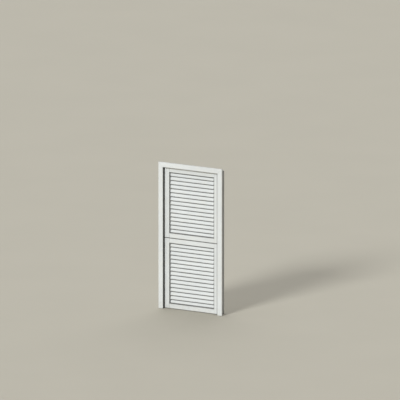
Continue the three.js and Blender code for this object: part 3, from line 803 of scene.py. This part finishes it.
def leaf(prefix, z0):
    body = f"{prefix}_leaf"
    z1 = z0 + LEAF_H
    louvre_z0, louvre_z1 = z0 + RAIL_H, z1 - RAIL_H
    yc = AXIS_Y
    limit = louvre_z1 - SLAT_TOP_CLEAR
    centres = [louvre_z0 + SLAT_LIFT + SECTION_HALF + (SLATS - k) * PITCH for k in range(1, SLATS + 1)]

    def slots(xa, xb):
        return joined("tool", [prism("tool", "X", below(slat_outline(yc, zc, GAP), limit + GAP), xa, xb) for zc in centres])

    def mortises(xa, xb):
        out = []
        for rail in (z0, z1 - RAIL_H):
            a, b = rail + (RAIL_H - TENON_H) / 2, rail + (RAIL_H + TENON_H) / 2
            out.append(block("tool", xa, xb, yc - TENON_T / 2 - GAP, yc + TENON_T / 2 + GAP, a - GAP, b + GAP))
        return joined("tool", out)

    # stiles, with painted shade on the side facing the louvres, towards the pivot nose, and at both ends in the gaps
    outer, inner = 1.8 * MM, 0.6 * MM
    ob = board(f"{prefix}_free_stile_board", "Z",
               lambda i: rounded(LEAF_X0, LOUVRE_X0, LEAF_Y0, LEAF_Y1, (outer, inner, inner, outer), inset=i, painted_shade=(0, 1.0, 0, 0)),
               z0, z1, 1.4 * MM, materials=(white_z,), steps=3, end_shade=(0.9, 0.9))
    carve(ob, [slots(LOUVRE_X0 - HOUSING_DEPTH, LOUVRE_X0 + 5 * MM),
               mortises(LOUVRE_X0 - TENON_L - GAP, LOUVRE_X0 + 5 * MM)])
    settle(ob, body, "white_paint", f"{prefix}_free_stile")

    house_z0 = z0 - (LOWER_Z - BOTTOM_TOP) + 2 * GAP + COLLAR_T
    house_z1 = house_z0 + HOUSE_L
    bush_z0 = z1 - GAP - BUSH_L
    flange_z0 = z1 - GAP - BUSH_FLANGE_T

    def bore(r, a, b):
        return turned("tool", [(0, a), (r, a), (r, b), (0, b)], 48)

    ob = board(f"{prefix}_pivot_stile_board", "Z", pivot_stile_section, z0, z1, 1.4 * MM, materials=(white_z,), steps=3, end_shade=(0.9, 0.9))
    carve(ob, [slots(LOUVRE_X1 - 5 * MM, LOUVRE_X1 + HOUSING_DEPTH),
               mortises(LOUVRE_X1 - 5 * MM, LOUVRE_X1 + TENON_L + GAP),
               bore(HOUSE_R + GAP, z0 - 5 * MM, house_z1 + GAP),
               bore(BUSH_R + GAP, bush_z0 - GAP, z1 + 5 * MM),
               bore(BUSH_FLANGE_R + GAP, flange_z0 - GAP, z1 + 5 * MM)])
    settle(ob, body, "white_paint", f"{prefix}_pivot_stile")

    # rails with their tenons, with painted shade on their top and bottom faces in the gaps
    for name, rail, r, g in (("top_rail", z1 - RAIL_H, (inner, inner, 1.4 * MM, 1.4 * MM), (0.5, 0, 1, 0)),
                             ("bottom_rail", z0, (1.4 * MM, 1.4 * MM, inner, inner), (0.8, 0, 1, 0))):
        ob = board(f"{prefix}_{name}_board", "X",
                   lambda i, rail=rail, r=r, g=g: rounded(LEAF_Y0, LEAF_Y1, rail, rail + RAIL_H, r, sup=0.007, inset=i, painted_shade=g),
                   LOUVRE_X0 + GAP, LOUVRE_X1 - GAP, 0.3 * MM, materials=(white_x,))
        a, b = rail + (RAIL_H - TENON_H) / 2, rail + (RAIL_H + TENON_H) / 2
        carve(ob, [block("tool", LOUVRE_X0 - TENON_L, LOUVRE_X1 + TENON_L, yc - TENON_T / 2, yc + TENON_T / 2, a, b)], "UNION")
        settle(ob, body, "white_paint", f"{prefix}_{name}")

    # slats, with painted shade under each overlap and at the foot of the lowest
    for k, zc in enumerate(centres, 1):
        section = slat_outline(yc, zc, foot=k == SLATS, drop=8 * MM if k == 1 else 0.0)
        ob = blade(f"{prefix}_slat_{k:02d}_blade", below(section, limit))
        settle(ob, body, "white_paint", f"{prefix}_slat_{k:02d}")

    # spring housing, return spring, bush
    f = 0.5 * MM
    h = PIN_HOLE_R
    ob = turned(f"{prefix}_spring_cup", [
        (h, house_z0 + f, 0.6), (h + f, house_z0, 0.6), (HOUSE_R - 1 * MM, house_z0, 0.5), (HOUSE_R, house_z0 + 1 * MM, 0.8),
        (HOUSE_R, house_z1 - f, 0.6), (HOUSE_R - f, house_z1, 0.8), (HOUSE_IN_R + f, house_z1, 0.8), (HOUSE_IN_R, house_z1 - f, 0.4),
        (HOUSE_IN_R, house_z0 + HOUSE_FLOOR + 1 * MM), (HOUSE_IN_R - 1 * MM, house_z0 + HOUSE_FLOOR),
        (h + f, house_z0 + HOUSE_FLOOR), (h, house_z0 + HOUSE_FLOOR - f)], closed=True, materials=(zinc,))
    settle(ob, body, "bright_steel", f"{prefix}_spring_housing")

    spring_z0 = house_z0 + HOUSE_FLOOR + WIRE_R + 2 * MM
    settle(coil(f"{prefix}_spring_coil", spring_z0, 52 * MM), body, "spring_steel", f"{prefix}_return_spring")

    ob = turned(f"{prefix}_bush", [
        (h, bush_z0 + f), (h + f, bush_z0), (BUSH_R - f, bush_z0), (BUSH_R, bush_z0 + f), (BUSH_R, flange_z0 - 0.4 * MM),
        (BUSH_R + 0.4 * MM, flange_z0), (BUSH_FLANGE_R - f, flange_z0), (BUSH_FLANGE_R, flange_z0 + f),
        (BUSH_FLANGE_R, z1 - GAP - f), (BUSH_FLANGE_R - f, z1 - GAP), (h + f, z1 - GAP), (h, z1 - GAP - f)],
        closed=True, materials=(nylon,))
    settle(ob, body, "nylon", f"{prefix}_top_bush")


def coil(name, z0, length, per_turn=36, sides=10):
    """Torsion spring: a round wire in a helix whose end turns lie close."""
    steps = SPRING_TURNS * per_turn
    path = []
    for i in range(steps + 1):
        t = i / steps
        rise = t - 0.055 * math.sin(2 * math.pi * t)
        a = 2 * math.pi * SPRING_TURNS * t
        path.append(Vector((AXIS_X + SPRING_R * math.cos(a), AXIS_Y + SPRING_R * math.sin(a), z0 + length * rise)))
    verts, faces = [], []
    for i, p in enumerate(path):
        d = (path[min(i + 1, steps)] - path[max(i - 1, 0)]).normalized()
        out = Vector((p.x - AXIS_X, p.y - AXIS_Y, 0)).normalized()
        side = d.cross(out).normalized()
        out = side.cross(d).normalized()
        for k in range(sides):
            a = 2 * math.pi * k / sides
            verts.append(p + out * WIRE_R * math.cos(a) + side * WIRE_R * math.sin(a))
    for i in range(steps):
        for k in range(sides):
            j = (k + 1) % sides
            faces.append((i * sides + k, i * sides + j, (i + 1) * sides + j, (i + 1) * sides + k))
    faces.append(tuple(range(sides - 1, -1, -1)))
    faces.append(tuple(range(steps * sides, (steps + 1) * sides)))
    return make(name, verts, faces, None, (wire_steel,), 50)


leaf("upper", UPPER_Z)
leaf("lower", LOWER_Z)

# ------------------------------------------------------------- floor and light


def make_floor():
    me = bpy.data.meshes.new("floor")
    s = 60.0
    me.from_pydata([(-s, -s, -0.0005), (s, -s, -0.0005), (s, s, -0.0005), (-s, s, -0.0005)], [], [(0, 1, 2, 3)])
    m, nt, bsdf = new_material("floor_plain")
    n = noise(nt, coords(nt, (1, 1, 1)), 0.8, 3.0, 0.5)
    link(nt, mix(nt, remap(nt, n, 0.3, 0.7, 0.0, 1.0, True), (0.480, 0.447, 0.369), (0.488, 0.454, 0.375)), bsdf.inputs["Base Color"])
    bsdf.inputs["Roughness"].default_value = 0.9
    bsdf.inputs["Specular IOR Level"].default_value = 0.1
    me.materials.append(m)
    ob = bpy.data.objects.new("floor", me)
    collection.objects.link(ob)


make_floor()

# a broad, even sky, brighter on the left and behind, dim on the right
world = bpy.data.worlds.new("studio")
bpy.context.scene.world = world
world.use_nodes = True
wt = world.node_tree
bg = wt.nodes["Background"]
wc = wt.nodes.new("ShaderNodeTexCoord")
dot = wt.nodes.new("ShaderNodeVectorMath")
dot.operation = "DOT_PRODUCT"
dot.inputs[1].default_value = (-0.50, 0.50, 0.70)
link(wt, wc.outputs["Generated"], dot.inputs[0])
link(wt, remap(wt, dot.outputs["Value"], -0.6, 1.0, 0.0, 0.80), bg.inputs["Strength"])
bg.inputs["Color"].default_value = (0.978, 1.0, 1.036, 1.0)

sun = bpy.data.lights.new("key", "SUN")
sun.energy = 2.26
sun.angle = math.radians(16)
sun.color = (0.970, 1.0, 1.026)
key = bpy.data.objects.new("key", sun)
collection.objects.link(key)
key.rotation_mode = "QUATERNION"
key.rotation_quaternion = Vector((-0.125, -0.870, 0.475)).to_track_quat("Z", "Y")

fill_light = bpy.data.lights.new("back_fill", "SUN")
fill_light.energy = 0.9
fill_light.angle = math.radians(70)
fill = bpy.data.objects.new("back_fill", fill_light)
collection.objects.link(fill)
fill.rotation_mode = "QUATERNION"
fill.rotation_quaternion = Vector((-0.40, 0.72, 0.57)).to_track_quat("Z", "Y")

# ---------------------------------------------------------------------- camera

AZ, EL, PX_PER_M = math.radians(29.16), math.radians(12.73), 68.1
aim = Vector((0.1677, -0.0983 + DEPTH_SHIFT, 1.7098))
back = Vector((math.sin(AZ) * math.cos(EL), -math.cos(AZ) * math.cos(EL), math.sin(EL)))
cam_data = bpy.data.cameras.new("camera")
cam_data.lens = 1000
cam_data.sensor_width = 36
cam = bpy.data.objects.new("camera", cam_data)
collection.objects.link(cam)
cam.location = aim + back * ((400 / PX_PER_M) * cam_data.lens / cam_data.sensor_width)
cam.rotation_mode = "QUATERNION"
cam.rotation_quaternion = (-back).to_track_quat("-Z", "Y")
cam_data.clip_start, cam_data.clip_end = 1.0, 1000.0
bpy.context.scene.camera = cam
bpy.context.scene.view_settings.view_transform = "Standard"

bpy.context.view_layer.update()
